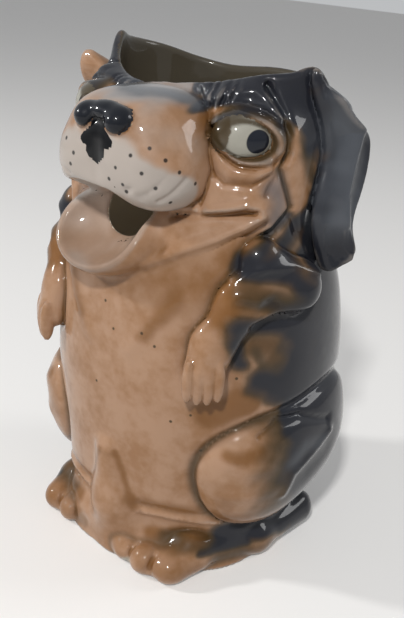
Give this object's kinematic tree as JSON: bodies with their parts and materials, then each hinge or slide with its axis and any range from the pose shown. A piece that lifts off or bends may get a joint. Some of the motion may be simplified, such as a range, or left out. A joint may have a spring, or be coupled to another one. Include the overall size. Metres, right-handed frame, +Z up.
{
  "type": "figural dog pitcher",
  "caption": "Glazed porcelain pitcher shaped as a seated dog: open at the top of the head, it pours from the open mouth and has a loop handle at the back.",
  "frame": {"origin": "centre of the foot's underside, on the surface that the pitcher stands on", "axes": "+Z up, the dog faces -Y, its left side is +X and the handle is on the +Y side"},
  "size_m": [0.1169, 0.1326, 0.1761],
  "materials": {
    "pink_glaze": "glossy clear glaze over pinkish tan underglaze colour",
    "tan_glaze": "glossy clear glaze over tan and smoke-blue sprayed underglaze colour",
    "white_glaze": "glossy clear glaze over greyish white porcelain with small dark dots",
    "black_glaze": "glossy clear glaze over black underglaze colour",
    "eye_glaze": "glossy clear glaze over cream white with painted pupil",
    "smoke_glaze": "glossy clear glaze over smoke-blue sprayed underglaze colour"
  },
  "bodies": {
    "root": {"foot_base": "pink_glaze", "belly_shell": "pink_glaze", "head_shell": "tan_glaze", "muzzle": "white_glaze", "nose_pad": "black_glaze", "lower_jaw": "white_glaze", "left_eye": "eye_glaze", "right_eye": "eye_glaze", "left_ear": "smoke_glaze", "right_ear": "smoke_glaze", "left_foreleg": "tan_glaze", "right_foreleg": "tan_glaze", "left_haunch": "tan_glaze", "right_haunch": "tan_glaze", "left_hind_foot": "tan_glaze", "right_hind_foot": "tan_glaze", "tail": "pink_glaze", "handle": "smoke_glaze"}
  },
  "joints": []
}
